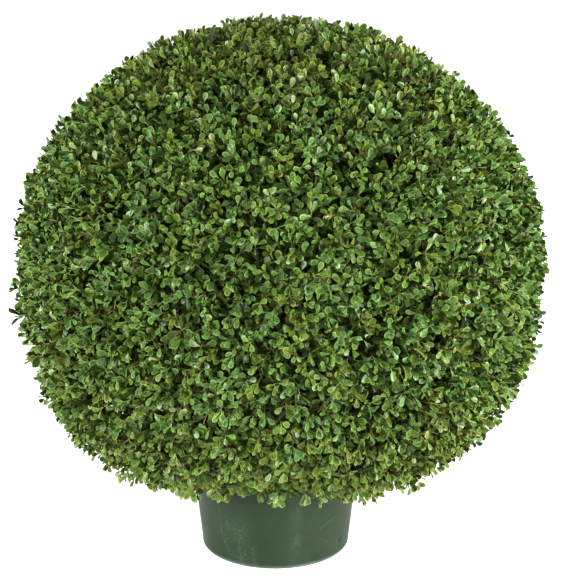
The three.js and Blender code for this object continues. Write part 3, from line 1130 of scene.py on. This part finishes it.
def wallStrokeGroup():
    # a soft stroke on a round wall, between two points given as turn from the front and height
    group, entry, leave = newGroup("wallStroke", [
        ("From", "NodeSocketVector", None),
        ("To", "NodeSocketVector", None),
        ("Width", "NodeSocketFloat", 0.001),
        ("Wander", "NodeSocketFloat", 0.001),
        ("Grain", "NodeSocketFloat", 1.0),
    ], [("Mask", "NodeSocketFloat")])
    place = group.nodes.new("ShaderNodeTexCoord")
    parts = group.nodes.new("ShaderNodeSeparateXYZ")
    group.links.new(place.outputs["Object"], parts.inputs[0])
    turn = maths(group, "ARCTAN2", parts.outputs[0], maths(group, "MULTIPLY", parts.outputs[1], -1.0))
    wave = noiseOn(group, place.outputs["Object"], potLook["waveScale"], 3)
    drift = maths(group, "MULTIPLY", maths(group, "SUBTRACT", wave, 0.5), entry.outputs["Wander"])
    wallTurn = maths(group, "MULTIPLY", turn, potLook["wallScale"])
    spot = group.nodes.new("ShaderNodeCombineXYZ")
    group.links.new(maths(group, "ADD", wallTurn, drift), spot.inputs[0])
    group.links.new(maths(group, "ADD", parts.outputs[2], drift), spot.inputs[1])

    def vectors(kind, a, b=None):
        node = group.nodes.new("ShaderNodeVectorMath")
        node.operation = kind
        group.links.new(a, node.inputs[0])
        if b is not None:
            group.links.new(b, node.inputs["Scale"] if kind == "SCALE" else node.inputs[1])
        return node.outputs["Value"] if kind in ("DOT_PRODUCT", "LENGTH") else node.outputs[0]

    run = vectors("SUBTRACT", entry.outputs["To"], entry.outputs["From"])
    offset = vectors("SUBTRACT", spot.outputs[0], entry.outputs["From"])
    share = maths(group, "DIVIDE", vectors("DOT_PRODUCT", offset, run),
                  vectors("DOT_PRODUCT", run, run), clamp=True)
    away = vectors("LENGTH", vectors("SUBTRACT", offset, vectors("SCALE", run, share)))
    near = maths(group, "SUBTRACT", 1.0, maths(group, "DIVIDE", away, entry.outputs["Width"]), clamp=True)
    fine = noiseOn(group, place.outputs["Object"], potLook["strokeSpeckScale"], 2)
    specks = maths(group, "SUBTRACT", ramp(group, fine, *potLook["strokeSpecks"]), 1.0)
    specks = maths(group, "ADD", 1.0, maths(group, "MULTIPLY", specks, entry.outputs["Grain"]))
    patchy = maths(group, "MULTIPLY", ramp(group, wave, *potLook["wavePatches"]), specks)
    group.links.new(maths(group, "MULTIPLY", near, patchy), leave.inputs["Mask"])
    return group


def dimplePlace():
    turn = math.radians(pot["dimpleTurn"] - 90)
    r = potOutside(pot["dimpleHeight"])
    return (r * math.cos(turn), r * math.sin(turn), pot["dimpleHeight"])


def potMaterial():
    material, tree, shader = newMaterial("mouldedPlastic")
    place = tree.nodes.new("ShaderNodeTexCoord").outputs["Object"]
    cloud = noiseOn(tree, place, potLook["cloudScale"], 3)
    speck = noiseOn(tree, place, potLook["speckScale"], 2)
    specks = maths(tree, "MULTIPLY", ramp(tree, speck, *potLook["speckEdge"]),
                   ramp(tree, cloud, *potLook["speckPatches"]))
    grain = noiseOn(tree, place, potLook["grainScale"], 2)
    # scuffs, dusty rubbed streaks and a painted sheen: the soft pale column at 15 degrees stands for a
    # lamp's reflection
    wallStroke = wallStrokeGroup()
    scuffsAndSheen = None
    for fromTurn, fromHeight, toTurn, toHeight, width, wander, strength, grainShare in potLook["scuffsAndSheen"]:
        line = tree.nodes.new("ShaderNodeGroup")
        line.node_tree = wallStroke
        for end, turn, height in (("From", fromTurn, fromHeight), ("To", toTurn, toHeight)):
            line.inputs[end].default_value = (math.radians(turn) * potLook["wallScale"], height, 0)
        for label, value in (("Width", width), ("Wander", wander), ("Grain", grainShare)):
            line.inputs[label].default_value = value
        mark = maths(tree, "MULTIPLY", line.outputs["Mask"], strength)
        scuffsAndSheen = mark if scuffsAndSheen is None else maths(tree, "MAXIMUM", scuffsAndSheen, mark)
    # painted light: a pale, patchy reflection of the floor painted on the foot's rounded edge
    parts = tree.nodes.new("ShaderNodeSeparateXYZ")
    tree.links.new(place, parts.inputs[0])
    foot = ramp(tree, parts.outputs[2], *potLook["footEdge"], 1, 0)
    foot = maths(tree, "MULTIPLY", foot, potLook["footLightStrength"])
    foot = maths(tree, "MULTIPLY", foot, ramp(tree, cloud, *potLook["footPatches"]))
    paleMarks = maths(tree, "MAXIMUM", scuffsAndSheen, foot)
    # painted shade: the dimple is darkened, most at its middle, fading out past its rim
    dimple = tree.nodes.new("ShaderNodeVectorMath")
    dimple.operation = "DISTANCE"
    tree.links.new(place, dimple.inputs[0])
    dimple.inputs[1].default_value = dimplePlace()
    near, far = (reach * pot["dimpleRadius"] for reach in potLook["dimpleShadeReach"])
    dimpleShade = ramp(tree, dimple.outputs["Value"], near, far, potLook["dimpleShadeShare"], 0.0)
    colour = blendColours(tree, ramp(tree, cloud, *potLook["clouds"]),
                          (*potLook["dark"], 1), (*potLook["colour"], 1))
    dusty = maths(tree, "MULTIPLY", specks, potLook["speckShare"])
    # laid over the plastic: dust, scuffs, the painted sheen, the painted light on the foot's edge and the
    # painted shade in the dimple
    for mask, over in ((dusty, "pale"), (scuffsAndSheen, "pale"), (foot, "footLitColour"), (dimpleShade, "dimpleShade")):
        colour = blendColours(tree, mask, colour, (*potLook[over], 1))
    tree.links.new(colour, shader.inputs["Base Color"])
    rough = maths(tree, "ADD", ramp(tree, cloud, *potLook["roughness"]),
                  maths(tree, "MULTIPLY", paleMarks, potLook["paleMarkRoughness"]))
    tree.links.new(rough, shader.inputs["Roughness"])
    relief = maths(tree, "ADD", maths(tree, "MULTIPLY", grain, 0.5), maths(tree, "MULTIPLY", scuffsAndSheen, 0.5))
    tree.links.new(bumpFrom(tree, relief, *potLook["bump"]), shader.inputs["Normal"])
    shader.inputs["Specular IOR Level"].default_value = potLook["gloss"]
    return material


potMesh = potPiece()
potMesh.data.materials.append(potMaterial())
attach(potMesh, "root")
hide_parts("pot")
print("pot:", len(potMesh.data.polygons), "faces")


fillerLook = {
    "gritScale": 220,
    "grit": (0.1, 0.5, 0.35, 0.0),    # from low, from high, to low, to high
    "gritColour": (0.12, 0.11, 0.10, 1),
    "cloudScale": 22,
    "clouds": (0.3, 0.7),
    "darker": (0.20, 0.185, 0.16, 1),
    "paler": (0.30, 0.28, 0.25, 1),
    "roughness": 0.9,
    "bump": (0.5, 0.001),
}


def fillerMaterial():
    material, tree, shader = newMaterial("castFiller")
    place = tree.nodes.new("ShaderNodeTexCoord").outputs["Object"]
    cells = tree.nodes.new("ShaderNodeTexVoronoi")
    cells.inputs["Scale"].default_value = fillerLook["gritScale"]
    tree.links.new(place, cells.inputs["Vector"])
    grit = cells.outputs["Distance"]
    cloud = noiseOn(tree, place, fillerLook["cloudScale"], 5)
    colour = blendColours(tree, ramp(tree, cloud, *fillerLook["clouds"]),
                          fillerLook["darker"], fillerLook["paler"])
    colour = blendColours(tree, ramp(tree, grit, *fillerLook["grit"]), colour, fillerLook["gritColour"])
    tree.links.new(colour, shader.inputs["Base Color"])
    shader.inputs["Roughness"].default_value = fillerLook["roughness"]
    tree.links.new(bumpFrom(tree, grit, *fillerLook["bump"]), shader.inputs["Normal"])
    return material


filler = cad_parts["pot_fill"]
filler.data.materials.clear()
filler.data.materials.append(fillerMaterial())
print("filler done")


studio = {
    "floorSize": 30.0,
    "floorColour": (0.80, 0.80, 0.80, 1),
    "floorGlow": 0.72,
    "floorSheen": 0.1,
    "bounceColour": (0.55, 0.55, 0.55, 1),    # what the floor sends back to the plant
    "bounceGlow": 0.35,
    "worldStrength": 0.45,
    "cameraDistance": 2.0,
    "cameraHeight": 0.866,
    "aim": (0.0148, 0.0, 0.3115),
    "lens": 109.6,
    "lightAim": (0, 0, 0.33),
    "softboxes": (      # place, width and height, watts
        ("topSoftbox", (-0.2, -0.3, 2.8), (2.2, 2.2), 6),
        ("rightSoftbox", (2.26, -1.42, 0.62), (0.9, 1.0), 186),
        ("leftSoftbox", (-2.14, -1.36, 0.72), (0.8, 1.0), 131),
        ("backSoftbox", (0.5, 2.5, 1.1), (1.2, 1.2), 28),
    ),
}


def seenAndLit(tree, seen, lit, output):
    # the camera sees the one; light that reaches the plant comes from the other
    path = tree.nodes.new("ShaderNodeLightPath")
    pick = tree.nodes.new("ShaderNodeMixShader")
    tree.links.new(path.outputs["Is Camera Ray"], pick.inputs[0])
    tree.links.new(lit.outputs[0], pick.inputs[1])
    tree.links.new(seen.outputs[0], pick.inputs[2])
    tree.links.new(pick.outputs[0], tree.nodes[output].inputs["Surface"])


def matteGlow(shader, colour, glow):
    shader.inputs["Base Color"].default_value = colour
    shader.inputs["Roughness"].default_value = 0.9
    shader.inputs["Emission Color"].default_value = (1, 1, 1, 1)
    shader.inputs["Emission Strength"].default_value = glow


def makeFloor():
    half = studio["floorSize"] / 2
    verts = np.array([[-half, -half, 0], [half, -half, 0], [half, half, 0], [-half, half, 0]])
    floor = newPiece("floor", verts, np.array([[0, 1, 2, 3]]), smooth=False)
    material, tree, shader = newMaterial("paleFloor")
    matteGlow(shader, studio["floorColour"], studio["floorGlow"])
    shader.inputs["Specular IOR Level"].default_value = studio["floorSheen"]
    bounce = tree.nodes.new("ShaderNodeBsdfPrincipled")
    matteGlow(bounce, studio["bounceColour"], studio["bounceGlow"])
    seenAndLit(tree, shader, bounce, "Material Output")
    floor.data.materials.append(material)


def softLight(name, place, size, watts):
    lamp = bpy.data.lights.new(name, "AREA")
    lamp.shape = "RECTANGLE"
    lamp.size, lamp.size_y = size
    lamp.energy = watts
    light = bpy.data.objects.new(name, lamp)
    light.location = place
    heading = Vector(studio["lightAim"]) - Vector(place)
    light.rotation_euler = heading.to_track_quat("-Z", "Y").to_euler()
    bpy.context.scene.collection.objects.link(light)


def makeCamera():
    lens = bpy.data.cameras.new("camera")
    lens.lens = studio["lens"]
    lens.sensor_width = 36
    lens.clip_end = 60
    camera = bpy.data.objects.new("camera", lens)
    aim = Vector(studio["aim"])
    rise = studio["cameraHeight"] - ballMiddle[2]
    back = math.sqrt(studio["cameraDistance"] ** 2 - rise ** 2)
    camera.location = (aim.x, -back, studio["cameraHeight"])
    camera.rotation_euler = (aim - camera.location).to_track_quat("-Z", "Y").to_euler()
    bpy.context.scene.collection.objects.link(camera)
    bpy.context.scene.camera = camera


def makeAir():
    # soft light from all round; seen directly, the air is white
    world = bpy.data.worlds.new("studioAir")
    world.use_nodes = True
    tree = world.node_tree
    soft = tree.nodes["Background"]
    soft.inputs["Color"].default_value = (1, 1, 1, 1)
    soft.inputs["Strength"].default_value = studio["worldStrength"]
    white = tree.nodes.new("ShaderNodeBackground")
    white.inputs["Color"].default_value = (1, 1, 1, 1)
    seenAndLit(tree, white, soft, "World Output")
    bpy.context.scene.world = world


makeFloor()
makeAir()
for softbox in studio["softboxes"]:
    softLight(*softbox)
makeCamera()
bpy.context.scene.view_settings.view_transform = "Standard"
print("studio done")
